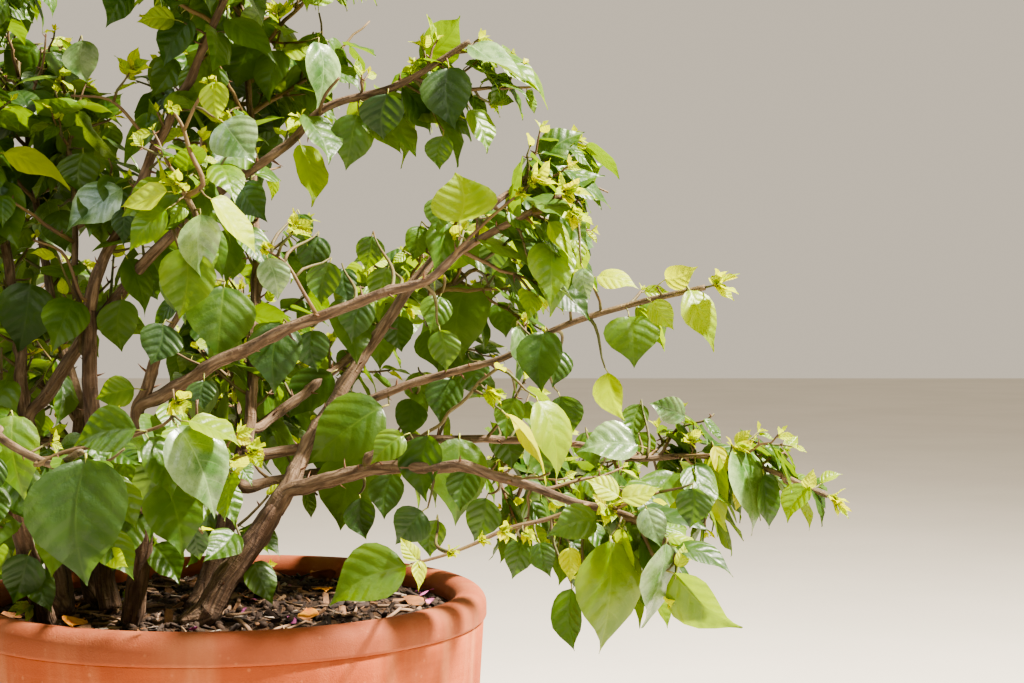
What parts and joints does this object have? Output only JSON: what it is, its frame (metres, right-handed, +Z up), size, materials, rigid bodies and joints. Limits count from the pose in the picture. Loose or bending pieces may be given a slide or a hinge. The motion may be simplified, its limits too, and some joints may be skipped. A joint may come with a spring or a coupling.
{
  "type": "potted bougainvillea bush",
  "caption": "Leafy woody shrub without blossom, a clump of leaning stems with arching boughs and leafy sprays, in a round terracotta pot with a thick rounded rim.",
  "frame": {"origin": "centre of the flat underside of the pot", "axes": "+Z up, +X to the right and -Y towards the viewer as the picture shows the bush"},
  "size_m": [0.9561, 0.7801, 0.9285],
  "materials": {
    "terracotta": "unglazed fired clay, matt, mottled with pale bloom and darker damp patches",
    "potting_soil": "moist dark compost with bark chips and dry twigs",
    "old_bark": "rough grey-brown bark with fine ridges",
    "young_bark": "smoother red-brown bark with pale flecks and short thorns",
    "leaves": "green leaves with a soft gloss, yellow-green at the shoot tips"
  },
  "bodies": {
    "root": {"pot": "terracotta", "soil": "potting_soil", "right_stem": "old_bark", "front_stem": "old_bark", "tall_stem": "old_bark", "left_stem": "old_bark", "near_left_stem": "old_bark", "back_stem": "old_bark", "back_left_stem": "old_bark", "rising_bough": "young_bark", "low_right_bough": "young_bark", "right_bough": "young_bark", "inner_right_bough": "young_bark", "long_bough": "young_bark", "front_upright_bough": "young_bark", "front_bough": "young_bark", "tall_bough": "young_bark", "inner_top_bough": "young_bark", "crossing_bough": "young_bark", "left_rising_bough": "young_bark", "left_bough": "young_bark", "front_left_bough": "young_bark", "front_left_upper_bough": "young_bark", "low_left_bough": "young_bark", "left_side_bough": "young_bark", "far_right_bough": "young_bark", "back_right_bough": "young_bark", "back_bough": "young_bark", "back_top_bough": "young_bark", "low_back_right_bough": "young_bark", "back_left_bough": "young_bark", "low_back_left_bough": "young_bark", "back_left_upper_bough": "young_bark", "rising_foliage": "leaves", "low_right_foliage": "leaves", "right_foliage": "leaves", "inner_right_foliage": "leaves", "long_foliage": "leaves", "front_upright_foliage": "leaves", "front_foliage": "leaves", "tall_foliage": "leaves", "inner_top_foliage": "leaves", "crossing_foliage": "leaves", "left_rising_foliage": "leaves", "left_foliage": "leaves", "front_left_foliage": "leaves", "front_left_upper_foliage": "leaves", "low_left_foliage": "leaves", "left_side_foliage": "leaves", "far_right_foliage": "leaves", "back_right_foliage": "leaves", "back_foliage": "leaves", "back_top_foliage": "leaves", "low_back_right_foliage": "leaves", "back_left_foliage": "leaves", "low_back_left_foliage": "leaves", "back_left_upper_foliage": "leaves"}
  },
  "joints": []
}
